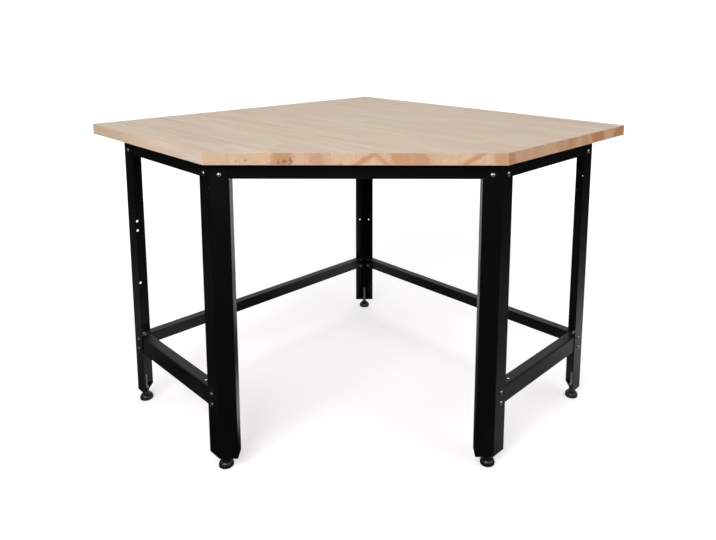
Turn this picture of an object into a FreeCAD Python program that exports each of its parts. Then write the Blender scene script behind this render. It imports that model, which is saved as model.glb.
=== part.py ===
import FreeCAD, Part
import os
import Sketcher

# Corner workbench: a five-sided butcher block top on five folded steel legs.
# The right angle of the top stands in the corner of a room and its diagonal
# front edge faces the user.
# X runs along the front edge, Y points to the back corner and Z is up.
# The origin is on the floor, in the middle of the top's extents. The arris of the
# back corner sets that corner back a little, which the plan takes into account.

doc = FreeCAD.newDocument("corner_workbench")
sizes = doc.addObject("Spreadsheet::Sheet", "sizes")
plan = doc.addObject("App::VarSet", "plan")

# Driving sizes in millimetres: alias, value, what it is

SIZES = [
    ("wall_edge", 1200, "top edge along each wall"),
    ("end_edge", 665, "top edge at each end, square to the wall edge"),
    ("top_thickness", 32, "thickness of the butcher block"),
    ("top_arris", 1.5, "rounding of the block's edges"),
    ("work_height", 875, "floor to the top's upper face"),
    ("edge_inset", 22, "legs behind the end edges and the front edge"),
    ("wall_inset", 170, "legs in front of the wall edges"),
    ("leg_sheet", 2, "sheet thickness of the legs"),
    ("bar_sheet", 2, "sheet thickness of rails and stretchers"),
    ("fold_radius", 2, "inner radius of every fold"),
    ("leg_flange", 50, "flange width of the angle legs"),
    ("front_face", 50, "front face width of the front legs"),
    ("side_face", 47, "side face width of the front legs"),
    ("lip_depth", 39, "inner return lip of the front legs"),
    ("lip_gap", 3, "lip's upper end below the front rail"),
    ("bolt_clearance", 1, "bolt holes and screw holes over their bolts and screws"),
    ("bolt_inset", 27, "fold to the bolt holes"),
    ("face_bolt_inset", 25, "fold to the bolt hole in a front face"),
    ("bar_end_gap", 10, "fold to the end of a rail or stretcher"),
    ("bar_corner_gap", 4, "gap between the flanges of two bars that meet"),
    ("rail_height", 40, "web height of the rails"),
    ("rail_flange", 30, "upper flange width of the rails"),
    ("rail_bolt_rise", 10, "rail's lower edge to its bolts"),
    ("stretcher_top", 221, "floor to the stretchers' upper faces"),
    ("stretcher_height", 50, "web height of the stretchers"),
    ("stretcher_flange", 30, "upper flange width of the stretchers"),
    ("stretcher_bolt_drop", 12, "stretcher's upper face to its upper bolts"),
    ("stretcher_bolt_rise", 8, "stretcher's lower edge to its lower bolts"),
    ("shelf_hole", 8, "diameter of the holes for a lower shelf"),
    ("shelf_hole_inset", 85, "fold to the shelf holes"),
    ("accessory_hole", 8, "diameter of the open holes in the legs"),
    ("accessory_low", 381, "floor to the single open holes"),
    ("accessory_high", 552, "floor to the lower hole of the open pair"),
    ("accessory_pitch", 30, "distance between the holes of the open pair"),
    ("hanging_hole", 4, "hole that a leg is hung by while it is coated"),
    ("hanging_hole_drop", 65, "front leg's upper end to its hanging hole"),
    ("hanging_hole_inset", 6, "front leg's fold to its hanging hole"),
    ("end_hanging_drop", 115, "end leg's upper end to its hanging hole"),
    ("plate_thickness", 3, "foot plates"),
    ("plate_relief", 1, "foot plate's corner clear of the inner fold"),
    ("plate_clearance", 1, "stud hole in a foot plate over the stud"),
    ("foot_place", 0.38, "foot's axis from an angle leg's fold, as a share of the flange"),
    ("front_foot_along", 13, "front leg's fold to the foot's axis, along the face"),
    ("front_foot_depth", 21, "front leg's face to the foot's axis"),
    ("glide_diameter", 40, "foot glide"),
    ("glide_bevel", 2, "bevel under the glide's rim"),
    ("glide_rim", 7, "top of the glide's rim above the floor"),
    ("glide_dome_radius", 13, "profile radius of the glide's dome"),
    ("glide_dome_top", 18, "top of the dome above the floor"),
    ("glide_neck", 20, "neck diameter at the dome"),
    ("glide_neck_top", 17, "neck diameter at its upper end"),
    ("glide_height", 25, "whole height of the glide"),
    ("glide_socket", 15, "depth of the stud's socket in the glide"),
    ("stud_diameter", 8, "foot stud"),
    ("stud_rise", 48, "stud above the leg's lower end"),
    ("stud_tip", 1, "chamfer at the stud's ends"),
    ("running_gap", 0.05, "radial clearance of a turning stud"),
    ("seat_gap", 0.2, "axial clearance of a turning or sliding face"),
    ("foot_nut_width", 13, "across the flats of the foot nuts"),
    ("foot_nut_height", 6.5, "height of the foot nuts"),
    ("foot_nut_gap", 1.5, "glide's top to the leg's lower end, less the jam nut"),
    ("nut_bevel", 1, "bevel of a nut's corners"),
    ("bolt_diameter", 6, "bolts of the frame"),
    ("bolt_length", 14, "bolt below its head"),
    ("bolt_tip", 0.8, "chamfer at the bolt's end"),
    ("bolt_head", 13, "bolt head diameter"),
    ("bolt_head_rim", 1, "straight rim of the bolt head"),
    ("bolt_head_height", 4, "bolt head height"),
    ("bolt_dome_radius", 9, "profile radius of the bolt head"),
    ("cross_width", 1.4, "arm width of the cross recess"),
    ("cross_length", 6.5, "arm length of the cross recess"),
    ("cross_depth", 2.2, "depth of the cross recess"),
    ("bolt_nut_width", 10, "across the flats of the flange nuts"),
    ("bolt_nut_height", 6, "height of the flange nuts"),
    ("bolt_nut_flange", 14, "flange diameter of the flange nuts"),
    ("bolt_nut_rim", 1.2, "flange thickness at its rim"),
    ("bolt_nut_cone", 2.4, "height where the flange meets the hexagon"),
    ("screw_diameter", 4.5, "screws that hold the top"),
    ("screw_length", 24, "screw below its head"),
    ("screw_point", 5, "length of the screw's point"),
    ("screw_head", 9, "screw head diameter"),
    ("screw_head_rim", 0.8, "straight rim of the screw head"),
    ("screw_head_height", 3, "screw head height"),
    ("screw_dome_radius", 6, "profile radius of the screw head"),
    ("pilot_extra", 2, "pilot hole beyond the screw's point"),
    ("cut_overrun", 5, "how far a cut runs past the face it leaves"),
]

for row, (alias, value, meaning) in enumerate(SIZES, start=1):
    sizes.set("A%d" % row, alias)
    sizes.set("B%d" % row, str(value))
    sizes.set("C%d" % row, meaning)
    sizes.setAlias("B%d" % row, alias)
doc.recompute()

# Places of the screws along a rail, as shares of its length

END_SCREW_SHARES = (0.2, 0.8)
FRONT_SCREW_SHARES = (0.15, 0.5, 0.85)
BACK_SCREW_SHARES = (0.12, 0.5, 0.88)

# Compass directions in the plan, in degrees from X

RIGHT = 0
BACK_RIGHT = 45
BACK = 90
BACK_LEFT = 135
LEFT = 180
FRONT_LEFT = 225
FRONT_RIGHT = 315

Z_AXIS = FreeCAD.Vector(0, 0, 1)
ORIGIN = ("0", "0")
THROUGH_SHEET = "2 * sizes.cut_overrun"

# How near two points count as the same when an edge is looked up

FIND_TOLERANCE = 0.001


def derive(name, expression):
    """adds a worked-out size to the plan"""
    plan.addProperty("App::PropertyFloat", name, "Plan", "")
    plan.setExpression(name, expression)
    doc.recompute()


def value_of(expression):
    return float(sizes.evalExpression(expression))


def move(point, direction, length):
    """the plan point, as two expressions, moved by a length in a compass direction"""
    x, y = point
    step = "(%s) * %s(%d deg)"
    return (
        x + " + " + step % (length, "cos", direction),
        y + " + " + step % (length, "sin", direction),
    )


# Worked-out sizes

derive("depth", "(sizes.wall_edge + sizes.end_edge) * sin(45 deg)")
derive("front_edge", "(sizes.wall_edge - sizes.end_edge) / sin(45 deg)")
derive("front_corner_inset", "sizes.edge_inset * tan(22.5 deg)")
derive("setback", "sizes.top_arris * (sqrt(2) - 1)")
derive("back_y", "(plan.depth + plan.setback) / 2")
derive("front_y", "plan.back_y - plan.depth")
derive("underside", "sizes.work_height - sizes.top_thickness")
derive("end_span", "sizes.end_edge - sizes.wall_inset - plan.front_corner_inset")
derive("back_span", "sizes.wall_edge - sizes.wall_inset - sizes.edge_inset")
derive("front_span", "plan.front_edge - 2 * plan.front_corner_inset")
derive("leg_clearance", "sizes.glide_height + sizes.foot_nut_height + sizes.foot_nut_gap")
derive("leg_height", "plan.underside - plan.leg_clearance")
derive("foot_inset", "sizes.leg_flange * sizes.foot_place")
derive("bolt_hole", "sizes.bolt_diameter + sizes.bolt_clearance")
derive("screw_hole", "sizes.screw_diameter + sizes.bolt_clearance")
derive("plate_hole", "sizes.stud_diameter + sizes.plate_clearance")
derive("rail_bolt_height", "plan.underside - sizes.rail_height + sizes.rail_bolt_rise")
derive("stretcher_bolt_high", "sizes.stretcher_top - sizes.stretcher_bolt_drop")
derive("stretcher_bolt_low", "sizes.stretcher_top - sizes.stretcher_height + sizes.stretcher_bolt_rise")

# Corners of the top, and the folds of the five legs

BACK_CORNER = ("0", "plan.back_y")
LEFT_CORNER = move(BACK_CORNER, FRONT_LEFT, "sizes.wall_edge")
RIGHT_CORNER = move(BACK_CORNER, FRONT_RIGHT, "sizes.wall_edge")
FRONT_LEFT_CORNER = ("-plan.front_edge / 2", "plan.front_y")
FRONT_RIGHT_CORNER = ("plan.front_edge / 2", "plan.front_y")

LEFT_FOLD = move(move(LEFT_CORNER, FRONT_RIGHT, "sizes.wall_inset"), BACK_RIGHT, "sizes.edge_inset")
RIGHT_FOLD = move(move(RIGHT_CORNER, FRONT_LEFT, "sizes.wall_inset"), BACK_LEFT, "sizes.edge_inset")
BACK_FOLD = move(move(BACK_CORNER, FRONT_RIGHT, "sizes.wall_inset"), FRONT_LEFT, "sizes.wall_inset")
FRONT_LEFT_FOLD = ("-plan.front_span / 2", "plan.front_y + sizes.edge_inset")
FRONT_RIGHT_FOLD = ("plan.front_span / 2", "plan.front_y + sizes.edge_inset")

# Drawing and cutting helpers


def new_body(label):
    body = doc.addObject("PartDesign::Body", label)
    body.Label = label
    return body


def place(item, point, height, azimuth, tilt=0, spin=0):
    """puts an object at a plan point and height: spun about its own axis, tilted
    from Z towards X, and turned to the azimuth"""
    turn = FreeCAD.Rotation(Z_AXIS, azimuth)
    lean = FreeCAD.Rotation(FreeCAD.Vector(0, 1, 0), tilt)
    roll = FreeCAD.Rotation(Z_AXIS, spin)
    item.Placement = FreeCAD.Placement(FreeCAD.Vector(), turn * lean * roll)
    item.setExpression("Placement.Base.x", point[0])
    item.setExpression("Placement.Base.y", point[1])
    item.setExpression("Placement.Base.z", height)


def arc_between(start, end, radius):
    """an arc that bulges to the right of the way from start to end"""
    chord = end - start
    rise = (radius * radius - chord.Length * chord.Length / 4) ** 0.5
    across = FreeCAD.Vector(-chord.y, chord.x, 0).normalize()
    centre = (start + end) / 2 + across * rise
    middle = centre - across * radius
    return Part.Arc(start, middle, end)


def new_sketch(body, plane_role):
    sketch = body.newObject("Sketcher::SketchObject", "Sketch")
    plane = [item for item in body.Origin.OriginFeatures if item.Role == plane_role][0]
    sketch.AttachmentSupport = [(plane, "")]
    sketch.MapMode = "FlatFace"
    return sketch


def bind_point(sketch, geometry, end, point):
    """ties a point of the sketch to its two distances from the sketch's origin"""
    for kind, expression in zip(("DistanceX", "DistanceY"), point):
        constraint = Sketcher.Constraint(kind, -1, 1, geometry, end, value_of(expression))
        index = sketch.addConstraint(constraint)
        sketch.setExpression("Constraints[%d]" % index, expression)


def draw_outline(sketch, corners, bulges=None):
    """a closed outline through the corners; a side named in bulges is an arc"""
    bulges = bulges or {}
    points = [FreeCAD.Vector(value_of(x), value_of(y), 0) for x, y in corners]
    count = len(points)
    for side in range(count):
        start = points[side]
        end = points[(side + 1) % count]
        if side in bulges:
            sketch.addGeometry(arc_between(start, end, value_of(bulges[side])), False)
        else:
            sketch.addGeometry(Part.LineSegment(start, end), False)
    for side in range(count):
        sketch.addConstraint(Sketcher.Constraint("Coincident", side, 2, (side + 1) % count, 1))
        bind_point(sketch, side, 1, corners[side])
    for side, radius in bulges.items():
        index = sketch.addConstraint(Sketcher.Constraint("Radius", side, value_of(radius)))
        sketch.setExpression("Constraints[%d]" % index, radius)


def pad(body, plane_role, corners, length):
    sketch = new_sketch(body, plane_role)
    draw_outline(sketch, corners)
    feature = body.newObject("PartDesign::Pad", "Pad")
    feature.Profile = sketch
    feature.setExpression("Length", length)
    doc.recompute()
    return feature


def revolve(body, corners, bulges=None, kind="PartDesign::Revolution"):
    """turns an outline of radius and height pairs about the body's Z axis"""
    sketch = new_sketch(body, "XZ_Plane")
    draw_outline(sketch, corners, bulges)
    feature = body.newObject(kind, "Turned")
    feature.Profile = sketch
    feature.ReferenceAxis = (sketch, ["V_Axis"])
    feature.Angle = 360
    doc.recompute()
    return feature


def drill(body, diameter, length, x, y, height, azimuth=0, tilt=0):
    """a round hole centred on a point of the body; a tilt of 90 lays it level"""
    hole = body.newObject("PartDesign::SubtractiveCylinder", "Drilled")
    hole.setExpression("Radius", "(%s) / 2" % diameter)
    hole.setExpression("Height", length)
    start = (x, y)
    if tilt:
        start = move(start, azimuth, "-(%s) / 2" % length)
        base = height
    else:
        base = "(%s) - (%s) / 2" % (height, length)
    place(hole, start, base, azimuth, tilt)
    doc.recompute()
    return hole


def cut_box(body, x, y, height, x_size, y_size, z_size):
    """removes a box that starts at a corner and runs along X, Y and Z"""
    box = body.newObject("PartDesign::SubtractiveBox", "Notch")
    box.setExpression("Length", x_size)
    box.setExpression("Width", y_size)
    box.setExpression("Height", z_size)
    place(box, (x, y), height, RIGHT)
    doc.recompute()
    return box


def round_edges(body, edges_at, radius):
    """rounds the straight edges of the body's tip that a test picks by their two ends"""
    tip = body.Tip
    names = []
    for index, edge in enumerate(tip.Shape.Edges, start=1):
        if len(edge.Vertexes) == 2 and edges_at(edge.Vertexes[0].Point, edge.Vertexes[1].Point):
            names.append("Edge%d" % index)
    if not names:
        raise RuntimeError("no edge to round on " + body.Label)
    feature = body.newObject("PartDesign::Fillet", "Fold")
    feature.Base = (tip, names)
    feature.setExpression("Radius", radius)
    doc.recompute()
    return feature


def upright_at(x, y):
    """picks the vertical edge at a plan point of a body"""
    target = FreeCAD.Vector(value_of(x), value_of(y), 0)

    def is_there(first, second):
        flats = [FreeCAD.Vector(end.x, end.y, 0) for end in (first, second)]
        return all(flat.isEqual(target, FIND_TOLERANCE) for flat in flats)

    return is_there


def along_at(y, z):
    """picks the edge along X at a depth and height of a body"""
    target = FreeCAD.Vector(0, value_of(y), value_of(z))

    def is_there(first, second):
        sections = [FreeCAD.Vector(0, end.y, end.z) for end in (first, second)]
        return all(section.isEqual(target, FIND_TOLERANCE) for section in sections)

    return is_there


# The top


def screw_points(fold, along, inward, span, shares):
    """plan points of the screws through one rail's flange"""
    start = move(move(fold, along, "sizes.bar_end_gap"), inward, "sizes.leg_sheet + sizes.rail_flange / 2")
    length = "(%s - 2 * sizes.bar_end_gap)" % span
    return [move(start, along, "%s * %s" % (share, length)) for share in shares]


# Rails: fold at the left end, way along, way into the bench, distance between the folds, screws

RAILS = {
    "front_rail": (FRONT_LEFT_FOLD, RIGHT, BACK, "plan.front_span", FRONT_SCREW_SHARES),
    "left_end_rail": (LEFT_FOLD, FRONT_RIGHT, BACK_RIGHT, "plan.end_span", END_SCREW_SHARES),
    "right_end_rail": (FRONT_RIGHT_FOLD, BACK_RIGHT, BACK_LEFT, "plan.end_span", END_SCREW_SHARES),
    "back_left_rail": (BACK_FOLD, FRONT_LEFT, FRONT_RIGHT, "plan.back_span", BACK_SCREW_SHARES),
    "back_right_rail": (RIGHT_FOLD, BACK_LEFT, FRONT_LEFT, "plan.back_span", BACK_SCREW_SHARES),
}

SCREW_POINTS = []
for rail_line in RAILS.values():
    SCREW_POINTS += screw_points(*rail_line)


def make_worktop():
    body = new_body("worktop")
    corners = [BACK_CORNER, LEFT_CORNER, FRONT_LEFT_CORNER, FRONT_RIGHT_CORNER, RIGHT_CORNER]
    pad(body, "XY_Plane", corners, "sizes.top_thickness")
    round_edges(body, lambda first, second: True, "sizes.top_arris")
    pilot = "2 * (sizes.screw_length - sizes.bar_sheet + sizes.pilot_extra)"
    for x, y in SCREW_POINTS:
        drill(body, "sizes.screw_diameter + 2 * sizes.running_gap", pilot, x, y, "0")
    place(body, ORIGIN, "plan.underside", RIGHT)
    return body


# Legs: the fold is the body's origin and its lower end stands on the body's XY plane


def make_angle_leg(label, fold, azimuth, x_holes, y_holes):
    """an equal angle with flanges along X and Y; its extra open holes are height and
    diameter pairs for either flange"""
    body = new_body(label)
    width = "sizes.leg_flange"
    sheet = "sizes.leg_sheet"
    corners = [ORIGIN, (width, "0"), (width, sheet), (sheet, sheet), (sheet, width), ("0", width)]
    pad(body, "XY_Plane", corners, "plan.leg_height")
    round_edges(body, upright_at("0", "0"), "sizes.fold_radius + sizes.leg_sheet")
    round_edges(body, upright_at(sheet, sheet), "sizes.fold_radius")
    bolts = ["plan.rail_bolt_height", "plan.stretcher_bolt_high", "plan.stretcher_bolt_low"]
    for height in bolts:
        level = height + " - plan.leg_clearance"
        drill(body, "plan.bolt_hole", THROUGH_SHEET, "sizes.bolt_inset", "0", level, BACK, 90)
        drill(body, "plan.bolt_hole", THROUGH_SHEET, "0", "sizes.bolt_inset", level, RIGHT, 90)
    for height, diameter in x_holes:
        level = height + " - plan.leg_clearance"
        drill(body, diameter, THROUGH_SHEET, "sizes.bolt_inset", "0", level, BACK, 90)
    for height, diameter in y_holes:
        level = height + " - plan.leg_clearance"
        drill(body, diameter, THROUGH_SHEET, "0", "sizes.bolt_inset", level, RIGHT, 90)
    place(body, fold, "plan.leg_clearance", azimuth)
    return body


def mirrored(point, side):
    """the point itself for side 1, or its mirror image across the YZ plane for side -1"""
    return ("%d * (%s)" % (side, point[0]), point[1])


def front_leg_points(side):
    """plan points of a front leg: outer fold first, then round the sheet"""
    along_side = move(ORIGIN, BACK_LEFT, "sizes.side_face")
    points = {
        "fold": ORIGIN,
        "face_corner": ("sizes.front_face", "0"),
        "lip_end": ("sizes.front_face", "sizes.lip_depth"),
        "lip_inner_end": ("sizes.front_face - sizes.leg_sheet", "sizes.lip_depth"),
        "face_inner_corner": ("sizes.front_face - sizes.leg_sheet", "sizes.leg_sheet"),
        "inner_fold": ("sizes.leg_sheet * tan(22.5 deg)", "sizes.leg_sheet"),
        "side_inner_end": move(along_side, BACK_RIGHT, "sizes.leg_sheet"),
        "side_end": along_side,
    }
    return {name: mirrored(point, side) for name, point in points.items()}


def make_front_leg(label, fold, side, with_hanging_hole):
    """a side face, a front face and an inner return lip folded from one sheet"""
    body = new_body(label)
    points = front_leg_points(side)
    pad(body, "XY_Plane", list(points.values()), "plan.leg_height")
    for name in ("fold", "face_corner"):
        round_edges(body, upright_at(*points[name]), "sizes.fold_radius + sizes.leg_sheet")
    for name in ("inner_fold", "face_inner_corner"):
        round_edges(body, upright_at(*points[name]), "sizes.fold_radius")
    notch_width = "(sizes.leg_sheet + sizes.fold_radius + sizes.cut_overrun)"
    notch_height = "(sizes.rail_height + sizes.lip_gap)"
    notch_x = "sizes.front_face + sizes.cut_overrun - " + notch_width
    if side < 0:
        notch_x = "-sizes.front_face - sizes.cut_overrun"
    cut_box(
        body,
        notch_x,
        "sizes.leg_sheet",
        "plan.leg_height - " + notch_height,
        notch_width,
        "sizes.lip_depth + sizes.cut_overrun",
        notch_height + " + sizes.cut_overrun",
    )
    rail_level = "plan.rail_bolt_height - plan.leg_clearance"
    face_x, face_y = mirrored(("sizes.face_bolt_inset", "0"), side)
    drill(body, "plan.bolt_hole", THROUGH_SHEET, face_x, face_y, rail_level, BACK, 90)
    inward = BACK_RIGHT if side > 0 else BACK_LEFT
    side_x, side_y = mirrored(move(ORIGIN, BACK_LEFT, "sizes.bolt_inset"), side)
    for height in ("plan.rail_bolt_height", "plan.stretcher_bolt_high", "plan.stretcher_bolt_low"):
        level = height + " - plan.leg_clearance"
        drill(body, "plan.bolt_hole", THROUGH_SHEET, side_x, side_y, level, inward, 90)
    if with_hanging_hole:
        hang_x, hang_y = mirrored(move(ORIGIN, BACK_LEFT, "sizes.hanging_hole_inset"), side)
        level = "plan.leg_height - sizes.hanging_hole_drop"
        drill(body, "sizes.hanging_hole", THROUGH_SHEET, hang_x, hang_y, level, inward, 90)
    place(body, fold, "plan.leg_clearance", RIGHT)
    return body


# Rails and stretchers: a web below an upper flange that points into the bench.
# The body's X runs along the bar from its left end and its origin is the upper outer edge.


def make_bar(label, line, height, flange, top, copes, web_holes, flange_holes, flange_hole):
    """web_holes are distance and drop pairs; copes are flange cuts at the two ends"""
    fold, along, inward = line[:3]
    body = new_body(label)
    length = bar_length(line)
    sheet = "sizes.bar_sheet"
    corners = [
        ORIGIN,
        ("0", "-" + height),
        (sheet, "-" + height),
        (sheet, "-" + sheet),
        (flange, "-" + sheet),
        (flange, "0"),
    ]
    pad(body, "YZ_Plane", corners, length)
    round_edges(body, along_at("0", "0"), "sizes.fold_radius + sizes.bar_sheet")
    round_edges(body, along_at(sheet, "-" + sheet), "sizes.fold_radius")
    cope_width = flange + " + sizes.cut_overrun"
    cope_height = "sizes.fold_radius + sizes.bar_sheet + sizes.cut_overrun"
    cope_floor = "-sizes.fold_radius - sizes.bar_sheet"
    start_cope, end_cope = copes
    if start_cope:
        start_length = "(%s) + sizes.cut_overrun" % start_cope
        cut_box(body, "-sizes.cut_overrun", sheet, cope_floor, start_length, cope_width, cope_height)
    if end_cope:
        end_length = "(%s) + sizes.cut_overrun" % end_cope
        end_x = "%s - (%s)" % (length, end_cope)
        cut_box(body, end_x, sheet, cope_floor, end_length, cope_width, cope_height)
    for distance, drop in web_holes:
        drill(body, "plan.bolt_hole", THROUGH_SHEET, distance, "0", "-(%s)" % drop, BACK, 90)
    for distance in flange_holes:
        drill(body, flange_hole, THROUGH_SHEET, distance, "(%s) / 2" % flange, "0")
    start = move(move(fold, along, "sizes.bar_end_gap"), inward, "sizes.leg_sheet")
    place(body, start, top, along)
    return body


def bar_length(line):
    """length of the bar on a line, whose last item is the distance between the two folds"""
    return "(%s - 2 * sizes.bar_end_gap)" % line[3]


def cope_at(corner_angle, flange):
    """flange cut back so that two flanges meeting at the corner stay apart"""
    reach = "(sizes.leg_sheet + %s) * %s + sizes.bar_corner_gap - sizes.bar_end_gap"
    return reach % (flange, corner_angle)


SQUARE_CORNER = "1"
FRONT_CORNER = "tan(22.5 deg)"


def make_rail(label):
    line = RAILS[label][:4]
    length = bar_length(line)
    square = cope_at(SQUARE_CORNER, "sizes.rail_flange")
    blunt = cope_at(FRONT_CORNER, "sizes.rail_flange")
    copes = {
        "front_rail": (blunt, blunt),
        "left_end_rail": (square, blunt),
        "right_end_rail": (blunt, square),
    }.get(label, (square, square))
    inset = "sizes.face_bolt_inset" if label == "front_rail" else "sizes.bolt_inset"
    near = inset + " - sizes.bar_end_gap"
    far = "%s - (%s)" % (length, near)
    drop = "sizes.rail_height - sizes.rail_bolt_rise"
    return make_bar(
        label,
        line,
        "sizes.rail_height",
        "sizes.rail_flange",
        "plan.underside",
        copes,
        [(near, drop), (far, drop)],
        ["%s * %s" % (share, length) for share in RAILS[label][4]],
        "plan.screw_hole",
    )


STRETCHERS = {
    "left_side_stretcher": "left_end_rail",
    "right_side_stretcher": "right_end_rail",
    "back_left_stretcher": "back_left_rail",
    "back_right_stretcher": "back_right_rail",
}


def make_stretcher(label):
    """a stretcher below the rail on the same line, with two bolts at each end"""
    rail = STRETCHERS[label]
    line = RAILS[rail][:4]
    length = bar_length(line)
    square = cope_at(SQUARE_CORNER, "sizes.stretcher_flange")
    copes = {"left_end_rail": (square, None), "right_end_rail": (None, square)}.get(rail, (square, square))
    near = "sizes.bolt_inset - sizes.bar_end_gap"
    far = "%s - (%s)" % (length, near)
    drops = ("sizes.stretcher_bolt_drop", "sizes.stretcher_height - sizes.stretcher_bolt_rise")
    shelf_near = "sizes.shelf_hole_inset - sizes.bar_end_gap"
    return make_bar(
        label,
        line,
        "sizes.stretcher_height",
        "sizes.stretcher_flange",
        "sizes.stretcher_top",
        copes,
        [(distance, drop) for distance in (near, far) for drop in drops],
        [shelf_near, "%s - (%s)" % (length, shelf_near)],
        "sizes.shelf_hole",
    )


# Feet: foot plate, weld nut, stud, jam nut and glide

ANGLE_LEGS = {
    "left": (LEFT_FOLD, FRONT_RIGHT),
    "right": (RIGHT_FOLD, BACK_LEFT),
    "back": (BACK_FOLD, FRONT_LEFT),
}
FRONT_LEGS = {
    "front_left": (FRONT_LEFT_FOLD, 1),
    "front_right": (FRONT_RIGHT_FOLD, -1),
}


def foot_points():
    """plan points of the five feet"""
    points = {}
    for name, (fold, azimuth) in ANGLE_LEGS.items():
        points[name] = move(move(fold, azimuth, "plan.foot_inset"), azimuth + 90, "plan.foot_inset")
    for name, (fold, side) in FRONT_LEGS.items():
        along = RIGHT if side > 0 else LEFT
        points[name] = move(move(fold, along, "sizes.front_foot_along"), BACK, "sizes.front_foot_depth")
    return points


FEET = foot_points()


def make_angle_plate(name):
    """a triangle that closes the lower end of an angle leg"""
    fold, azimuth = ANGLE_LEGS[name]
    body = new_body(name + "_foot_plate")
    sheet = "sizes.leg_sheet"
    width = "sizes.leg_flange"
    pad(body, "XY_Plane", [(sheet, sheet), (width, sheet), (sheet, width)], "sizes.plate_thickness")
    round_edges(body, upright_at(sheet, sheet), "sizes.fold_radius + sizes.plate_relief")
    drill(body, "plan.plate_hole", THROUGH_SHEET, "plan.foot_inset", "plan.foot_inset", "0")
    place(body, fold, "plan.leg_clearance", azimuth)
    return body


def make_front_plate(name):
    """a plate that closes the lower end of a front leg"""
    fold, side = FRONT_LEGS[name]
    body = new_body(name + "_foot_plate")
    points = front_leg_points(side)
    order = ("inner_fold", "face_inner_corner", "lip_inner_end", "side_inner_end")
    pad(body, "XY_Plane", [points[corner] for corner in order], "sizes.plate_thickness")
    for corner in ("inner_fold", "face_inner_corner"):
        round_edges(body, upright_at(*points[corner]), "sizes.fold_radius + sizes.plate_relief")
    x, y = mirrored(("sizes.front_foot_along", "sizes.front_foot_depth"), side)
    drill(body, "plan.plate_hole", THROUGH_SHEET, x, y, "0")
    place(body, fold, "plan.leg_clearance", RIGHT)
    return body


def hexagon(width):
    """corners of a hexagon, given its width across the flats"""
    radius = "(%s) / (2 * cos(30 deg))" % width
    return [move(ORIGIN, angle, radius) for angle in range(0, 360, 60)]


def make_hex_nut(label):
    """a plain nut that stands on the body's XY plane, with its upper corners bevelled"""
    body = new_body(label)
    width = "sizes.foot_nut_width"
    height = "sizes.foot_nut_height"
    pad(body, "XY_Plane", hexagon(width), height)
    radius = width + " / (2 * cos(30 deg))"
    bevel = [
        (width + " / 2 - sizes.nut_bevel / 2", height),
        (radius + " + sizes.nut_bevel", height),
        (radius + " + sizes.nut_bevel", height + " - sizes.nut_bevel"),
    ]
    revolve(body, bevel, kind="PartDesign::Groove")
    length = "2 * %s + 2 * sizes.cut_overrun" % height
    drill(body, "sizes.stud_diameter + 2 * sizes.running_gap", length, "0", "0", "0")
    return body


def make_stud(label):
    """a plain rod with chamfered ends, from its lower end up"""
    body = new_body(label)
    radius = "sizes.stud_diameter / 2"
    slim = radius + " - sizes.stud_tip"
    top = "plan.leg_clearance + sizes.stud_rise"
    length = top + " - sizes.glide_height + sizes.glide_socket - sizes.seat_gap"
    corners = [
        ORIGIN,
        (slim, "0"),
        (radius, "sizes.stud_tip"),
        (radius, length + " - sizes.stud_tip"),
        (slim, length),
        ("0", length),
    ]
    revolve(body, corners)
    return body


def make_glide(label):
    """a domed foot with a blind socket for the stud"""
    body = new_body(label)
    rim = "sizes.glide_diameter / 2"
    bore = "sizes.stud_diameter / 2 + sizes.running_gap"
    floor = "sizes.glide_height - sizes.glide_socket"
    corners = [
        ORIGIN,
        (rim + " - sizes.glide_bevel", "0"),
        (rim, "sizes.glide_bevel"),
        (rim, "sizes.glide_rim"),
        ("sizes.glide_neck / 2", "sizes.glide_dome_top"),
        ("sizes.glide_neck_top / 2", "sizes.glide_height"),
        (bore, "sizes.glide_height"),
        (bore, floor),
        ("0", floor),
    ]
    revolve(body, corners, {3: "sizes.glide_dome_radius"})
    return body


def make_foot(name):
    """one levelling foot: glide on the floor, stud in its socket, jam nut under the plate"""
    point = FEET[name]
    glide = make_glide(name + "_foot_glide")
    place(glide, point, "0", RIGHT)
    stud = make_stud(name + "_foot_stud")
    place(stud, point, "sizes.glide_height - sizes.glide_socket + sizes.seat_gap", RIGHT)
    nut = make_hex_nut(name + "_foot_jam_nut")
    nut_height = "plan.leg_clearance - sizes.seat_gap - sizes.foot_nut_height"
    place(nut, point, nut_height, BACK_RIGHT if name in ANGLE_LEGS else RIGHT)
    return [glide, stud, nut]


# Fasteners: one master each, repeated as links


def domed_head(radius, rim, height, dome):
    """outline of a domed head below the body's XY plane, from its crown to its seat"""
    corners = [("0", "-" + height), (radius, "-" + rim), (radius, "0")]
    return corners, {0: dome}


def make_bolt():
    """head below the XY plane with a cross recess, shank up along Z"""
    body = new_body("bolt_master")
    head, bulges = domed_head(
        "sizes.bolt_head / 2", "sizes.bolt_head_rim", "sizes.bolt_head_height", "sizes.bolt_dome_radius"
    )
    shank = "sizes.bolt_diameter / 2"
    corners = head + [
        (shank, "0"),
        (shank, "sizes.bolt_length - sizes.bolt_tip"),
        (shank + " - sizes.bolt_tip", "sizes.bolt_length"),
        ("0", "sizes.bolt_length"),
    ]
    revolve(body, corners, bulges)
    arms = (("sizes.cross_length", "sizes.cross_width"), ("sizes.cross_width", "sizes.cross_length"))
    for x_size, y_size in arms:
        cut_box(
            body,
            "-%s / 2" % x_size,
            "-%s / 2" % y_size,
            "-sizes.bolt_head_height - sizes.cut_overrun",
            x_size,
            y_size,
            "sizes.cross_depth + sizes.cut_overrun",
        )
    return body


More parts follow.
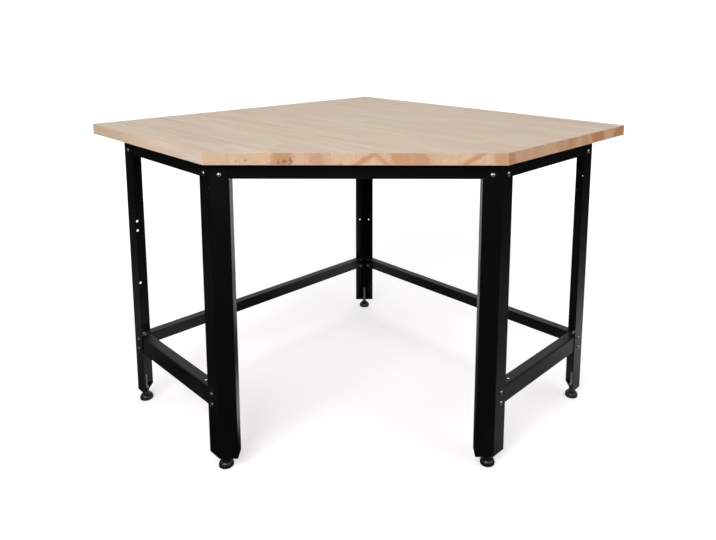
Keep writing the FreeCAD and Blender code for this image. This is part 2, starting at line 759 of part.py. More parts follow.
def make_flange_nut():
    """seat on the XY plane, hexagon up along Z"""
    body = new_body("flange_nut_master")
    flange = "sizes.bolt_nut_flange / 2"
    corners = [
        ORIGIN,
        (flange, "0"),
        (flange, "sizes.bolt_nut_rim"),
        ("sizes.bolt_nut_width / 2", "sizes.bolt_nut_cone"),
        ("0", "sizes.bolt_nut_cone"),
    ]
    revolve(body, corners)
    pad(body, "XY_Plane", hexagon("sizes.bolt_nut_width"), "sizes.bolt_nut_height")
    length = "2 * sizes.bolt_nut_height + 2 * sizes.cut_overrun"
    drill(body, "sizes.bolt_diameter + 2 * sizes.running_gap", length, "0", "0", "0")
    return body


def make_screw():
    """pan head below the XY plane, pointed shank up along Z"""
    body = new_body("screw_master")
    head, bulges = domed_head(
        "sizes.screw_head / 2", "sizes.screw_head_rim", "sizes.screw_head_height", "sizes.screw_dome_radius"
    )
    shank = "sizes.screw_diameter / 2"
    corners = head + [
        (shank, "0"),
        (shank, "sizes.screw_length - sizes.screw_point"),
        ("0", "sizes.screw_length"),
    ]
    revolve(body, corners, bulges)
    return body


def make_group(label, master, places):
    """one sub-part of many equal fasteners; each place is a point, height, azimuth, tilt and spin"""
    links = []
    for index, spot in enumerate(places):
        link = doc.addObject("App::Link", "%s_%d" % (label, index + 1))
        link.LinkedObject = master
        place(link, *spot)
        links.append(link)
    group = doc.addObject("Part::Compound", label)
    group.Label = label
    group.Links = links
    return group


# Bolted faces: fold, way along the face, way into the bench, fold to the bolts

SIDE_FACES = [
    (LEFT_FOLD, FRONT_RIGHT, BACK_RIGHT, "sizes.bolt_inset"),
    (LEFT_FOLD, BACK_RIGHT, FRONT_RIGHT, "sizes.bolt_inset"),
    (RIGHT_FOLD, FRONT_LEFT, BACK_LEFT, "sizes.bolt_inset"),
    (RIGHT_FOLD, BACK_LEFT, FRONT_LEFT, "sizes.bolt_inset"),
    (BACK_FOLD, FRONT_LEFT, FRONT_RIGHT, "sizes.bolt_inset"),
    (BACK_FOLD, FRONT_RIGHT, FRONT_LEFT, "sizes.bolt_inset"),
    (FRONT_LEFT_FOLD, BACK_LEFT, BACK_RIGHT, "sizes.bolt_inset"),
    (FRONT_RIGHT_FOLD, BACK_RIGHT, BACK_LEFT, "sizes.bolt_inset"),
]
FRONT_FACES = [
    (FRONT_LEFT_FOLD, RIGHT, BACK, "sizes.face_bolt_inset"),
    (FRONT_RIGHT_FOLD, LEFT, BACK, "sizes.face_bolt_inset"),
]
SPIN_STEP = 37


def fastener_places(faces, heights, offset):
    """places of fasteners that point into the bench, offset inwards from the legs' outer faces"""
    places = []
    for fold, along, inward, inset in faces:
        point = move(move(fold, along, inset), inward, offset)
        for height in heights:
            places.append((point, height, inward, 90, SPIN_STEP * len(places)))
    return places


SUBPARTS = [make_worktop()]
SUBPARTS += [make_rail(label) for label in RAILS]

# The two end legs are equal: the holes in the left one's wall flange are in the
# right one's end flange

SINGLE_HOLE = [("sizes.accessory_low", "sizes.accessory_hole")]
ALL_HOLES = SINGLE_HOLE + [
    ("sizes.accessory_high", "sizes.accessory_hole"),
    ("sizes.accessory_high + sizes.accessory_pitch", "sizes.accessory_hole"),
]
END_HANGING_HOLE = [("plan.underside - sizes.end_hanging_drop", "sizes.hanging_hole")]
SUBPARTS.append(make_front_leg("front_left_leg", *FRONT_LEGS["front_left"], True))
SUBPARTS.append(make_front_leg("front_right_leg", *FRONT_LEGS["front_right"], False))
SUBPARTS.append(make_angle_leg("left_leg", *ANGLE_LEGS["left"], END_HANGING_HOLE, ALL_HOLES))
SUBPARTS.append(make_angle_leg("right_leg", *ANGLE_LEGS["right"], END_HANGING_HOLE, ALL_HOLES))
SUBPARTS.append(make_angle_leg("back_leg", *ANGLE_LEGS["back"], SINGLE_HOLE, SINGLE_HOLE))

SUBPARTS += [make_stretcher(label) for label in STRETCHERS]

SUBPARTS += [make_front_plate(name) for name in FRONT_LEGS]
SUBPARTS += [make_angle_plate(name) for name in ANGLE_LEGS]
for name in FEET:
    SUBPARTS += make_foot(name)

bolt = make_bolt()
flange_nut = make_flange_nut()
screw = make_screw()
weld_nut = make_hex_nut("weld_nut_master")

RAIL_LEVELS = ["plan.rail_bolt_height"]
STRETCHER_LEVELS = ["plan.stretcher_bolt_high", "plan.stretcher_bolt_low"]
OUTSIDE = "0"
INSIDE = "sizes.leg_sheet + sizes.bar_sheet"
ALL_FACES = SIDE_FACES + FRONT_FACES
weld_nut_height = "plan.leg_clearance + sizes.plate_thickness"
screw_height = "plan.underside - sizes.bar_sheet"

GROUPS = [
    ("foot_plate_nuts", weld_nut, [(point, weld_nut_height, RIGHT) for point in FEET.values()]),
    ("rail_bolts", bolt, fastener_places(ALL_FACES, RAIL_LEVELS, OUTSIDE)),
    ("rail_bolt_nuts", flange_nut, fastener_places(ALL_FACES, RAIL_LEVELS, INSIDE)),
    ("stretcher_bolts", bolt, fastener_places(SIDE_FACES, STRETCHER_LEVELS, OUTSIDE)),
    ("stretcher_bolt_nuts", flange_nut, fastener_places(SIDE_FACES, STRETCHER_LEVELS, INSIDE)),
    ("worktop_screws", screw, [(point, screw_height, RIGHT) for point in SCREW_POINTS]),
]
SUBPARTS += [make_group(*group) for group in GROUPS]

# Check everything, then write one file for each sub-part

doc.recompute()
for item in doc.Objects:
    if "Invalid" in item.State or "Error" in item.State:
        raise RuntimeError("failed: %s %s" % (item.Label, item.State))
os.makedirs("parts", exist_ok=True)
for part in SUBPARTS:
    if part.Shape.isNull() or not part.Shape.isValid():
        raise RuntimeError("bad shape: " + part.Label)
    part.Shape.exportStep("parts/%s.step" % part.Label)
print("sub-parts written:", len(SUBPARTS))
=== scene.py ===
"""Corner workbench: a five-sided butcher block top on black powder coated steel legs,
rails and lower stretchers, with levelling feet."""

import math

import bpy
from mathutils import Matrix, Vector


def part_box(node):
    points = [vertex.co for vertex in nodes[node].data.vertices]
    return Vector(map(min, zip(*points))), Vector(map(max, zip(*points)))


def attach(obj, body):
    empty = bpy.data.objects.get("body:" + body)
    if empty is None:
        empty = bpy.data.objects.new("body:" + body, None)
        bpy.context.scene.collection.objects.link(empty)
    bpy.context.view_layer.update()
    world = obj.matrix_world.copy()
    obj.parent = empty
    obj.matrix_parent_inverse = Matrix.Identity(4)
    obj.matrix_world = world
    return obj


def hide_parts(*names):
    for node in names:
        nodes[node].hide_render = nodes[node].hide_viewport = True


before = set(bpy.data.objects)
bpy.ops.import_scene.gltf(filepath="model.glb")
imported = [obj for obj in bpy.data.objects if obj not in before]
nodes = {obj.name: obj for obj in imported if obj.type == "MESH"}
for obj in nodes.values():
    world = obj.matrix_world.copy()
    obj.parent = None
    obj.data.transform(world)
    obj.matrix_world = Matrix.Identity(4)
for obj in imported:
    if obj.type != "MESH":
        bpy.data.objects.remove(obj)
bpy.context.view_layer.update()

# Sizes in metres, as in the construction
TOP_HEIGHT = 0.875
TOP_THICKNESS = 0.032
STUD_RADIUS = 0.004
STUD_TIP = 0.001
THREAD_PITCH = 0.00125
THREAD_DEPTH = 0.00068

LEGS = ("front_left", "front_right", "left", "right", "back")


# Node graphs


class Graph:
    """A node graph that grows by small calls."""

    def __init__(self, tree):
        self.tree = tree

    def add(self, kind, inputs=None, **settings):
        node = self.tree.nodes.new(kind)
        for name, value in settings.items():
            setattr(node, name, value)
        for key, value in (inputs or {}).items():
            self.feed(node.inputs[key], value)
        return node

    def feed(self, socket, value):
        if isinstance(value, bpy.types.NodeSocket):
            self.tree.links.new(value, socket)
        else:
            socket.default_value = value

    def math(self, operation, *values):
        inputs = dict(enumerate(values))
        return self.add("ShaderNodeMath", inputs, operation=operation).outputs[0]

    def total(self, *values):
        result = values[0]
        for value in values[1:]:
            result = self.math("ADD", result, value)
        return result

    def product(self, *values):
        result = values[0]
        for value in values[1:]:
            result = self.math("MULTIPLY", result, value)
        return result

    def weigh(self, *pairs):
        """the sum of each value times its weight"""
        return self.total(*(self.product(value, weight) for value, weight in pairs))

    def largest(self, *values):
        result = values[0]
        for value in values[1:]:
            result = self.math("MAXIMUM", result, value)
        return result

    def centred(self, value):
        """a value from 0 to 1, moved to lie round 0"""
        return self.math("SUBTRACT", value, 0.5)

    def without(self, share):
        """what a share leaves of 1"""
        return self.math("SUBTRACT", 1.0, share)

    def radius(self, *sides):
        return self.math("SQRT", self.total(*(self.product(side, side) for side in sides)))

    def span(self, value, low, high, out_low=0.0, out_high=1.0):
        """a smooth step from out_low at low to out_high at high"""
        inputs = {0: value, 1: low, 2: high, 3: out_low, 4: out_high}
        return self.add("ShaderNodeMapRange", inputs, interpolation_type="SMOOTHSTEP").outputs[0]

    def vector(self, x, y, z):
        return self.add("ShaderNodeCombineXYZ", {0: x, 1: y, 2: z}).outputs[0]

    def parts(self, vector):
        return self.add("ShaderNodeSeparateXYZ", {0: vector}).outputs

    def stretch(self, vector, scale):
        inputs = {0: vector, 1: scale}
        return self.add("ShaderNodeVectorMath", inputs, operation="MULTIPLY").outputs[0]

    def noise(self, vector, scale, detail, roughness=0.5):
        inputs = {"Vector": vector, "Scale": scale, "Detail": detail, "Roughness": roughness}
        return self.add("ShaderNodeTexNoise", inputs).outputs["Fac"]

    def grain(self, fibres, lengthwise, crosswise, detail, roughness=0.5):
        """noise drawn out along the first axis"""
        place = self.stretch(fibres, (lengthwise, crosswise, crosswise))
        return self.noise(place, 1.0, detail, roughness)

    def mix(self, share, first, second, blend="MIX"):
        node = self.add("ShaderNodeMix", data_type="RGBA", blend_type=blend, clamp_factor=True)
        self.feed(node.inputs[0], share)
        for socket, value in ((node.inputs[6], first), (node.inputs[7], second)):
            self.feed(socket, value if isinstance(value, bpy.types.NodeSocket) else (*value, 1.0))
        return node.outputs[2]

    def tint(self, share, colour, tint):
        """a colour multiplied by a tint, where the share is 1"""
        return self.mix(share, colour, self.mix(1.0, colour, tint, "MULTIPLY"))

    def ramp(self, value, stops):
        node = self.add("ShaderNodeValToRGB", {0: value})
        elements = node.color_ramp.elements
        while len(elements) < len(stops):
            elements.new(0.5)
        for element, (place, colour) in zip(elements, stops):
            element.position = place
            element.color = (*colour, 1.0)
        return node.outputs[0]

    def bump(self, height, strength, distance, normal=None):
        inputs = {"Height": height, "Strength": strength, "Distance": distance}
        if normal is not None:
            inputs["Normal"] = normal
        return self.add("ShaderNodeBump", inputs).outputs[0]


def new_material(name):
    material = bpy.data.materials.new(name)
    material.use_nodes = True
    graph = Graph(material.node_tree)
    shader = material.node_tree.nodes["Principled BSDF"]
    place = graph.add("ShaderNodeTexCoord").outputs["Object"]
    return material, graph, shader, place


def set_surface(g, shader, colour, roughness, normal, specular=0.5, metallic=0.0):
    g.feed(shader.inputs["Base Color"], colour)
    g.feed(shader.inputs["Roughness"], roughness)
    g.feed(shader.inputs["Normal"], normal)
    shader.inputs["Specular IOR Level"].default_value = specular
    shader.inputs["Metallic"].default_value = metallic


# Hardwood butcher block: lengths in metres, the rest plain factors

STAVE_WIDTH = 0.045
STAVE_START = 0.35
PIECE_LENGTH = 0.36
PIECE_STAGGER = 7.31
PIECE_RANDOMNESS = 0.75
FINGER_WIDTH = 0.0019
FINGER_SLOPE = 5.2
GLUE_LINE = (0.0007, 0.0001)
JOINT_LINE = (0.0006, 0.0001)
LOWER_ARRIS = (-0.0138, -0.0150)
# Span along x over which the painted shade on the side-grain edges at the left tip fades out
LEFT_TIP_SHADE_SPAN = (-0.84, -0.46)
PITH_SIDE_RANGE = 0.13
PITH_DROP = 0.012
PITH_DROP_RANGE = 0.075
RING_WIDTH = 0.0032
RING_WIDTH_RANGE = 0.0035
RING_SWAY = 0.016
RING_LEAN = 0.05
RING_WANDER = 1.6
DIAGONAL = math.sqrt(0.5)

# Tints of the top's pieces, from grey beige over cream to pink beige
PIECE_TINTS = (
    (0.00, (0.596, 0.484, 0.386)),
    (0.18, (0.632, 0.512, 0.394)),
    (0.40, (0.650, 0.523, 0.414)),
    (0.62, (0.618, 0.510, 0.398)),
    (0.80, (0.655, 0.514, 0.418)),
    (1.00, (0.598, 0.467, 0.369)),
)
# Tints that the piece's own tint is multiplied by
END_GRAIN = (0.98, 0.785, 0.625)
# Painted light on the side-grain edges, and painted shade on them towards the left tip, where the light
# falls off
SIDE_GRAIN_PAINTED_LIGHT = (1.16, 1.12, 1.15)
LEFT_TIP_PAINTED_SHADE = (1.00, 0.91, 0.85)
LATE_WOOD = (0.80, 0.60, 0.44)
PINK = (1.04, 0.93, 0.90)
HEARTWOOD = (0.82, 0.57, 0.38)
GLUE = (0.66, 0.55, 0.45)
# Colours that replace it
KNOT = (0.13, 0.065, 0.036)
ARRIS = (0.70, 0.58, 0.46)

# Browner pieces in two edges: middle, half width, lean of their sides, strength
FRONT_PATCHES = (
    (-0.184, 0.026, 0.0, 0.80),
    (-0.098, 0.016, 0.3, 0.45),
    (0.024, 0.012, -1.4, 0.85),
    (0.060, 0.010, 1.3, 0.70),
    (0.134, 0.046, 0.5, 0.75),
    (0.292, 0.011, -1.6, 0.80),
    (0.366, 0.022, 0.2, 0.65),
)
RIGHT_PATCHES = (
    (0.388, 0.014, 0.3, 0.70),
    (0.466, 0.012, -0.4, 0.30),
    (0.560, 0.016, 0.4, 0.45),
    (0.606, 0.020, -0.3, 0.60),
    (0.664, 0.018, 0.2, 0.50),
    (0.720, 0.030, 0.3, 0.95),
    (0.820, 0.022, -0.4, 1.00),
)
PATCH_BLUR = 0.008
PATCH_RAGGED = 0.020

# Knots and short cracks in the front edge: place along it, height, half width, flatness, strength
FRONT_KNOTS = (
    (-0.296, 0.852, 0.0035, 1.6, 0.75),
    (-0.272, 0.855, 0.0075, 2.2, 0.45),
    (-0.192, 0.850, 0.0050, 0.8, 0.75),
    (-0.178, 0.853, 0.0075, 1.6, 0.95),
    (-0.161, 0.854, 0.0042, 0.12, 0.90),
    (-0.152, 0.866, 0.0040, 2.0, 0.45),
    (-0.041, 0.845, 0.0060, 1.6, 0.60),
)
KNOT_CORE = 0.40
KNOT_RING_RATE = 2600.0


def lay_staves(g, along, across):
    """where a point lies across its stave, three chances of its piece, and the glued seams"""
    stave_place = g.total(g.math("DIVIDE", across, STAVE_WIDTH), STAVE_START)
    stave = g.math("FLOOR", stave_place)
    in_stave = g.centred(g.math("FRACT", stave_place))
    glue_gap = g.product(g.math("SUBTRACT", 0.5, g.math("ABSOLUTE", in_stave)), STAVE_WIDTH)
    fingers = g.product(g.math("PINGPONG", across, FINGER_WIDTH), FINGER_SLOPE)
    piece_place = g.math("DIVIDE", g.total(along, fingers), PIECE_LENGTH)
    piece_place = g.total(piece_place, g.product(stave, PIECE_STAGGER))
    cell = {"W": piece_place, "Scale": 1.0, "Randomness": PIECE_RANDOMNESS}
    piece = g.add("ShaderNodeTexVoronoi", cell, voronoi_dimensions="1D")
    border = g.add("ShaderNodeTexVoronoi", cell, voronoi_dimensions="1D", feature="DISTANCE_TO_EDGE")
    joint_gap = g.product(border.outputs["Distance"], PIECE_LENGTH)
    chances = g.add("ShaderNodeSeparateColor", {0: piece.outputs["Color"]}).outputs
    seams = g.largest(g.span(glue_gap, *GLUE_LINE), g.span(joint_gap, *JOINT_LINE))
    return in_stave, chances, seams


def grow_rings(g, fibres, in_stave, chances):
    """the late wood of growth rings round a pith that lies somewhere beside each piece"""
    along, _, middle = g.parts(fibres)
    sway = g.product(g.centred(g.grain(fibres, 2.2, 9.0, 3.0)), RING_SWAY)
    lean = g.product(g.centred(chances[2]), along, RING_LEAN)
    pith_side = g.product(g.centred(chances[0]), PITH_SIDE_RANGE)
    pith_drop = g.total(g.product(chances[1], PITH_DROP_RANGE), PITH_DROP)
    ring_side = g.total(g.product(in_stave, STAVE_WIDTH), pith_side, lean, sway)
    ring_radius = g.radius(ring_side, g.total(middle, pith_drop))
    ring_width = g.total(g.product(chances[2], RING_WIDTH_RANGE), RING_WIDTH)
    wander = g.product(g.grain(fibres, 1.5, 60.0, 2.0), RING_WANDER)
    phase = g.math("FRACT", g.total(g.math("DIVIDE", ring_radius, ring_width), wander))
    return g.product(g.span(phase, 0.25, 0.9), g.span(phase, 1.0, 0.9))


def brown_patches(g, x, middle, ragged, patches):
    """the share of heartwood in one edge, from its list of browner pieces"""
    brown = 0.0
    for centre, half, lean, strength in patches:
        offset = g.total(x, -centre, g.product(middle, lean), ragged)
        patch = g.span(g.math("ABSOLUTE", offset), half + PATCH_BLUR, half - PATCH_BLUR)
        brown = g.largest(brown, g.product(patch, strength))
    return brown


def front_knots(g, x, z, ragged):
    """the share of dark wood in the front edge's knots and cracks"""
    dark = 0.0
    for centre, height, half, flatness, strength in FRONT_KNOTS:
        beside = g.total(g.math("SUBTRACT", x, centre), g.product(ragged, 0.8))
        rise = g.math("SUBTRACT", z, height)
        gap = g.math("SQRT", g.total(g.product(beside, beside), g.product(rise, rise, flatness)))
        swirl = g.total(g.product(g.math("SINE", g.product(gap, KNOT_RING_RATE)), 0.25), 0.75)
        dark = g.largest(dark, g.product(g.span(gap, half, half * KNOT_CORE), swirl, strength))
    return dark


def make_wood():
    material, g, shader, place = new_material("hardwood_block")
    x, y, z = g.parts(place)
    along = g.product(g.math("SUBTRACT", x, y), DIAGONAL)
    across = g.product(g.total(x, y), DIAGONAL)
    middle = g.math("SUBTRACT", z, TOP_HEIGHT - TOP_THICKNESS / 2)
    fibres = g.vector(along, across, middle)
    in_stave, chances, seams = lay_staves(g, along, across)
    late_wood = grow_rings(g, fibres, in_stave, chances)

    # Which way a face looks: across the fibres, up or down, to the front, to the right end
    normal_x, normal_y, normal_z = g.parts(g.add("ShaderNodeNewGeometry").outputs["True Normal"])
    end_grain = g.math("ABSOLUTE", g.product(g.math("SUBTRACT", normal_x, normal_y), DIAGONAL))
    upright = g.without(g.math("ABSOLUTE", normal_z))
    side_grain = g.product(upright, g.without(end_grain))
    front = g.span(normal_y, -0.85, -0.95)
    right_end = g.product(g.span(normal_x, 0.60, 0.70), g.span(normal_y, -0.60, -0.70))

    # Fibres, long streaks, clouds, pores and flecks
    fibre = g.grain(fibres, 14.0, 700.0, 4.0, 0.6)
    streak = g.grain(fibres, 3.0, 95.0, 3.0, 0.55)
    cloud = g.grain(fibres, 5.0, 22.0, 2.0)
    pores = g.span(g.grain(fibres, 190.0, 2300.0, 1.0), 0.62, 0.74)
    flecks = g.span(g.grain(fibres, 60.0, 420.0, 1.0), 0.66, 0.76)

    # The piece's tint, and how the edges, the rings and pink pieces change it
    colour = g.ramp(chances[1], PIECE_TINTS)
    # Side-grain edges: painted light, fading to painted shade towards the left tip
    painted_side_light_and_shade = g.mix(g.span(x, *LEFT_TIP_SHADE_SPAN), LEFT_TIP_PAINTED_SHADE, SIDE_GRAIN_PAINTED_LIGHT)
    colour = g.tint(side_grain, colour, painted_side_light_and_shade)
    colour = g.tint(end_grain, colour, END_GRAIN)
    colour = g.tint(g.product(late_wood, g.total(g.product(end_grain, 0.12), 0.08)), colour, LATE_WOOD)
    pink = g.product(g.span(chances[2], 0.55, 0.85), g.without(g.product(end_grain, 0.5)), 0.24)
    colour = g.tint(pink, colour, PINK)

    # Heartwood by chance in the end grain, by its list in the front edge and the right end edge
    ragged = g.centred(g.noise(g.stretch(place, (60.0, 60.0, 160.0)), 1.0, 3.0))
    ragged = g.product(ragged, PATCH_RAGGED)
    brown = g.product(g.span(chances[0], 0.55, 0.80), end_grain, 0.75)
    for share, patches in ((front, FRONT_PATCHES), (right_end, RIGHT_PATCHES)):
        listed = brown_patches(g, x, middle, ragged, patches)
        brown = g.total(g.product(brown, g.without(share)), g.product(listed, share))
    brown = g.product(brown, g.total(g.product(streak, 0.7), 0.6))
    colour = g.tint(brown, colour, HEARTWOOD)
    colour = g.mix(g.product(front_knots(g, x, z, ragged), front, 0.90), colour, KNOT)

    # A paler lower arris, then the fine shades and the seams over all
    arris = g.product(g.span(middle, *LOWER_ARRIS), upright)
    colour = g.mix(g.product(arris, 0.45), colour, ARRIS)
    shade = g.weigh(
        (1.0, 1.0),
        (g.centred(fibre), 0.20),
        (g.centred(streak), 0.30),
        (g.centred(cloud), 0.18),
        (late_wood, -0.07),
        (pores, -0.16),
        (flecks, -0.06),
    )
    colour = g.mix(1.0, colour, g.vector(shade, shade, shade), "MULTIPLY")
    colour = g.tint(g.product(seams, 0.42), colour, GLUE)

    roughness = g.weigh((0.47, 1.0), (fibre, 0.10), (late_wood, -0.04), (end_grain, 0.10), (pores, 0.1))
    height = g.weigh((fibre, 0.35), (late_wood, 0.22), (pores, -0.9), (seams, -0.8), (cloud, 0.5))
    set_surface(g, shader, colour, roughness, g.bump(height, 0.35, 0.00025), specular=0.28)
    return material


# Black powder coat on folded sheet steel


def make_powder_coat():
    material, g, shader, place = new_material("black_powder_coat")
    facing_up = g.parts(g.add("ShaderNodeNewGeometry").outputs["Normal"])[2]
    peel = g.noise(place, 480.0, 2.0, 0.45)
    grit = g.noise(place, 2600.0, 1.0)
    wave = g.noise(place, 9.0, 2.0)
    scuffs = g.span(g.noise(g.stretch(place, (40.0, 40.0, 9.0)), 1.0, 5.0, 0.7), 0.60, 0.72)
    dust = g.product(g.span(facing_up, 0.55, 0.98), g.span(g.noise(place, 34.0, 4.0, 0.65), 0.35, 0.8))
    colour = g.mix(wave, (0.0010, 0.0011, 0.0013), (0.0018, 0.0019, 0.0022))
    colour = g.mix(g.product(grit, 0.35), colour, (0.0032, 0.0033, 0.0037))
    colour = g.mix(g.product(dust, 0.16), colour, (0.060, 0.058, 0.055))
    roughness = g.weigh((0.30, 1.0), (wave, 0.07), (peel, 0.06), (scuffs, 0.06), (dust, 0.10))
    normal = g.bump(grit, 0.12, 0.00006, g.bump(peel, 0.42, 0.00030))
    set_surface(g, shader, colour, roughness, normal, specular=0.38)
    return material


# Zinc plated fasteners


def make_zinc():
    material, g, shader, place = new_material("zinc_steel")
    patches = g.noise(place, 260.0, 3.0, 0.6)
    fine = g.noise(place, 2400.0, 2.0, 0.6)
    rub = g.span(g.noise(place, 900.0, 4.0, 0.7), 0.52, 0.70)
    colour = g.mix(patches, (0.34, 0.35, 0.37), (0.50, 0.50, 0.49))
    colour = g.mix(g.product(rub, 0.35), colour, (0.30, 0.29, 0.28))
    roughness = g.weigh((0.27, 1.0), (patches, 0.14), (rub, 0.10))
    set_surface(g, shader, colour, roughness, g.bump(fine, 0.10, 0.00004), metallic=1.0)
    return material


# Studs, bluish steel with oil in the thread


def make_thread_steel():
    material, g, shader, place = new_material("thread_steel")
    patches = g.noise(place, 420.0, 3.0, 0.6)
    oil = g.span(g.noise(place, 1500.0, 3.0, 0.65), 0.45, 0.65)
    colour = g.mix(patches, (0.34, 0.36, 0.39), (0.54, 0.55, 0.57))
    colour = g.mix(g.product(oil, 0.4), colour, (0.21, 0.21, 0.21))
    roughness = g.weigh((0.34, 1.0), (patches, 0.16), (oil, -0.06))
    set_surface(g, shader, colour, roughness, g.bump(patches, 0.10, 0.00004), metallic=1.0)
    return material


# Moulded nylon glides, dusty near the floor


def make_nylon():
    material, g, shader, place = new_material("black_nylon")
    spots = g.noise(place, 120.0, 3.0, 0.6)
    moulding = g.noise(place, 1700.0, 2.0)
    low = g.span(g.parts(place)[2], 0.010, 0.001)
    dust = g.product(low, g.span(g.noise(place, 500.0, 4.0, 0.7), 0.45, 0.75))
    colour = g.mix(spots, (0.0050, 0.0052, 0.0056), (0.0082, 0.0084, 0.0088))
    colour = g.mix(g.product(dust, 0.25), colour, (0.075, 0.070, 0.062))
    roughness = g.weigh((0.26, 1.0), (spots, 0.12), (dust, 0.25))
    set_surface(g, shader, colour, roughness, g.bump(moulding, 0.14, 0.00006))
    return material


MATERIALS = {
    "wood": make_wood(),
    "steel": make_powder_coat(),
    "zinc": make_zinc(),
    "thread": make_thread_steel(),
    "nylon": make_nylon(),
}


def finish_of(name):
    """the material of a node, from its name"""
    if name == "worktop":
        return MATERIALS["wood"]
    if name.endswith("_glide"):
        return MATERIALS["nylon"]
    if name.endswith(("_leg", "_rail", "_stretcher", "_plate")):
        return MATERIALS["steel"]
    return MATERIALS["zinc"]


for name, node in nodes.items():
    node.data.materials.clear()
    node.data.materials.append(finish_of(name))


# Threaded studs, which stand for the plain ones

THREAD_SIDES = 28
ROWS_PER_PITCH = 6
ROOT_SHARE = 0.16
FLANK_SHARE = 0.68


def thread_radius(turn, height, length):
    """radius of the thread at a share of a turn and a height above the stud's lower end"""
    phase = (height / THREAD_PITCH - turn) % 1.0
    flank = abs(phase - 0.5) * 2.0
    rise = min(max((flank - ROOT_SHARE) / FLANK_SHARE, 0.0), 1.0)
    radius = STUD_RADIUS - THREAD_DEPTH * (1.0 - rise)
    tip = STUD_RADIUS - STUD_TIP + min(height, length - height)
    return min(radius, tip)


def make_stud(name, node):
    low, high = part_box(node)
    centre = (low + high) / 2
    length = high.z - low.z
    rows = round(length / THREAD_PITCH * ROWS_PER_PITCH)
    points = []
    for row in range(rows + 1):
        height = length * row / rows
        for side in range(THREAD_SIDES):
            turn = side / THREAD_SIDES
            radius = thread_radius(turn, height, length)
            angle = 2 * math.pi * turn
            x = centre.x + radius * math.cos(angle)
            y = centre.y + radius * math.sin(angle)
            points.append((x, y, low.z + height))
    faces = []
    for row in range(rows):
        below = row * THREAD_SIDES
        above = below + THREAD_SIDES
        for side in range(THREAD_SIDES):
            after = (side + 1) % THREAD_SIDES
            faces.append((below + side, below + after, above + after, above + side))
    last = rows * THREAD_SIDES
    faces.append(tuple(reversed(range(THREAD_SIDES))))
    faces.append(tuple(range(last, last + THREAD_SIDES)))
    mesh = bpy.data.meshes.new(name)
    mesh.from_pydata(points, [], faces)
    mesh.materials.append(MATERIALS["thread"])
    stud = bpy.data.objects.new(name, mesh)
    bpy.context.scene.collection.objects.link(stud)
    return stud


for leg in LEGS:
    node = leg + "_foot_stud"
    stud = make_stud(leg + "_threaded_stud", node)
    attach(stud, leg + "_stud")
    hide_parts(node)


# Floor, world, lamps and camera

WHITE = (1.0, 1.0, 1.0, 1.0)
FLOOR_GREY = (0.80, 0.80, 0.80, 1.0)
FLOOR_HALF = 30.0
FLOOR_HEIGHT = -0.0002
FLOOR_MIRRORED = 0.012
SKY_LIGHT = 0.46

SENSOR_WIDTH = 36.0
CAMERA_LENS = 32.05
CAMERA_SHIFT = (-0.0424, -0.2025)
CAMERA_PLACE = (0.0498, -2.2035, 1.1776)
CAMERA_DEGREES = (1.089, 8.586, -0.310)


def ray_kinds(g):
    """1 for glossy rays, and 1 for the rays that see the background itself"""
    outputs = g.add("ShaderNodeLightPath").outputs
    seen = g.largest(outputs["Is Camera Ray"], outputs["Is Transmission Ray"])
    return outputs["Is Glossy Ray"], seen


def white_paper(g, x, y):
    """how bright the floor shows in gloss: white paper lies beside, under and behind the bench"""
    sideways = g.math("ABSOLUTE", x)
    outward = g.math("SUBTRACT", sideways, g.product(y, 0.9))
    left_level = g.span(y, -0.35, -0.10, 0.0, 0.15)
    left = g.product(g.span(x, -0.45, -0.62), g.span(outward, 1.90, 1.50), left_level)
    right_level = g.span(y, -0.32, -0.08, 0.36, 1.20)
    right = g.product(g.span(x, 0.34, 0.50), g.span(outward, 1.60, 1.25), right_level)
    crossing = g.product(x, g.total(y, 0.07))
    crossing_level = g.span(crossing, -0.01, 0.05, 0.02, 0.45)
    under_level = g.product(crossing_level, g.span(y, -0.05, -0.25, 1.0, 1.9))
    under = g.product(g.span(sideways, 0.80, 0.50), g.span(y, -0.52, -0.36), under_level)
    behind = g.product(g.span(y, 0.10, 0.60), g.span(sideways, 1.60, 1.10), 0.85)
    not_in_front = g.span(y, -0.95, -0.50)
    return g.product(not_in_front, g.largest(left, right, g.largest(under, behind)))


def make_floor():
    material = bpy.data.materials.new("floor")
    material.use_nodes = True
    material.node_tree.nodes.clear()
    g = Graph(material.node_tree)
    x, y, _ = g.parts(g.add("ShaderNodeTexCoord").outputs["Object"])
    glossy, seen = ray_kinds(g)
    lift = g.product(seen, g.span(g.radius(x, y), 1.2, 3.5, 0.45, 0.80))
    matt = g.add("ShaderNodeBsdfDiffuse", {"Color": FLOOR_GREY}).outputs[0]
    white = g.add("ShaderNodeEmission", {"Color": WHITE, "Strength": lift}).outputs[0]
    lit = g.add("ShaderNodeAddShader", {0: matt, 1: white}).outputs[0]
    mirrored_level = g.total(white_paper(g, x, y), FLOOR_MIRRORED)
    mirrored = g.add("ShaderNodeEmission", {"Color": WHITE, "Strength": mirrored_level}).outputs[0]
    surface = g.add("ShaderNodeMixShader", {0: glossy, 1: lit, 2: mirrored}).outputs[0]
    g.add("ShaderNodeOutputMaterial", {"Surface": surface})
    corners = ((-1, -1), (1, -1), (1, 1), (-1, 1))
    points = [(FLOOR_HALF * side, FLOOR_HALF * end, FLOOR_HEIGHT) for side, end in corners]
    mesh = bpy.data.meshes.new("floor")
    mesh.from_pydata(points, [], [(0, 1, 2, 3)])
    mesh.materials.append(material)
    floor = bpy.data.objects.new("floor", mesh)
    bpy.context.scene.collection.objects.link(floor)


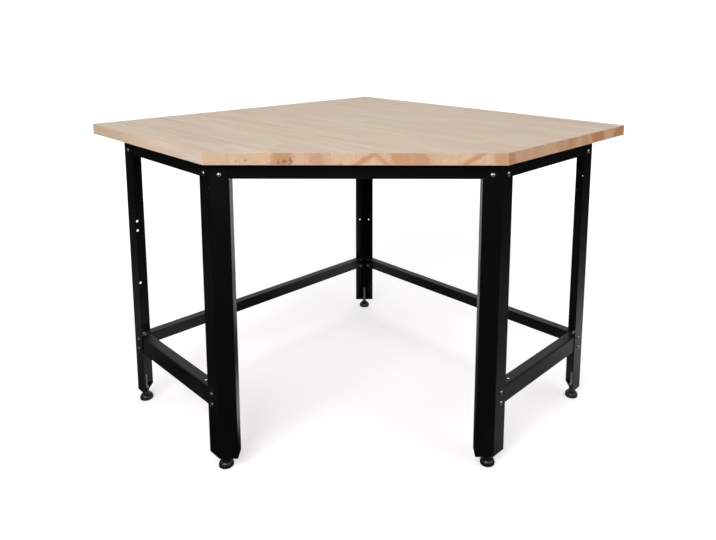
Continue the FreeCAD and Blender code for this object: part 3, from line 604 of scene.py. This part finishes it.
def make_world():
    """a white background, mirrored by metal behind and above the bench, and a plain grey light"""
    world = bpy.data.worlds.new("studio")
    bpy.context.scene.world = world
    world.use_nodes = True
    world.node_tree.nodes.clear()
    g = Graph(world.node_tree)
    direction = g.parts(g.add("ShaderNodeTexCoord").outputs["Generated"])
    behind = g.span(direction[1], 0.45, 0.85, 0.02, 0.62)
    above = g.span(direction[2], 0.12, 0.45, 0.0, 0.55)
    glossy, seen = ray_kinds(g)
    shown = g.largest(seen, g.product(glossy, g.largest(behind, above)))
    other = g.without(g.largest(seen, glossy))
    level = g.total(shown, g.product(other, SKY_LIGHT))
    background = g.add("ShaderNodeBackground", {"Color": WHITE, "Strength": level}).outputs[0]
    g.add("ShaderNodeOutputWorld", {"Surface": background})


def add_lamp(name, place, target, size, power):
    lamp = bpy.data.lights.new(name, "AREA")
    lamp.shape = "RECTANGLE"
    lamp.size, lamp.size_y = size
    lamp.energy = power
    lamp_object = bpy.data.objects.new(name, lamp)
    lamp_object.location = place
    way = Vector(target) - Vector(place)
    lamp_object.rotation_mode = "QUATERNION"
    lamp_object.rotation_quaternion = way.to_track_quat("-Z", "Y")
    bpy.context.scene.collection.objects.link(lamp_object)


def add_camera():
    camera = bpy.data.cameras.new("camera")
    camera.sensor_width = SENSOR_WIDTH
    camera.lens = CAMERA_LENS
    camera.shift_x, camera.shift_y = CAMERA_SHIFT
    yaw, pitch, roll = (math.radians(degrees) for degrees in CAMERA_DEGREES)
    heading = Matrix.Rotation(-yaw, 4, "Z")
    tilt = Matrix.Rotation(math.pi / 2 - pitch, 4, "X")
    turn = heading @ tilt @ Matrix.Rotation(-roll, 4, "Z")
    camera_object = bpy.data.objects.new("camera", camera)
    camera_object.matrix_world = Matrix.Translation(CAMERA_PLACE) @ turn
    bpy.context.scene.collection.objects.link(camera_object)
    bpy.context.scene.camera = camera_object


make_floor()
make_world()
add_lamp("key", (-1.4, -3.4, 3.0), (0.0, 0.0, 0.7), (2.4, 2.0), 97)
add_lamp("fill", (3.6, -2.6, 2.2), (0.5, -0.3, 0.8), (2.4, 2.0), 36)
add_lamp("overhead", (0.4, 0.8, 3.7), (0.0, 0.0, 0.8), (3.2, 2.6), 29)
add_camera()
bpy.context.scene.view_settings.view_transform = "Standard"
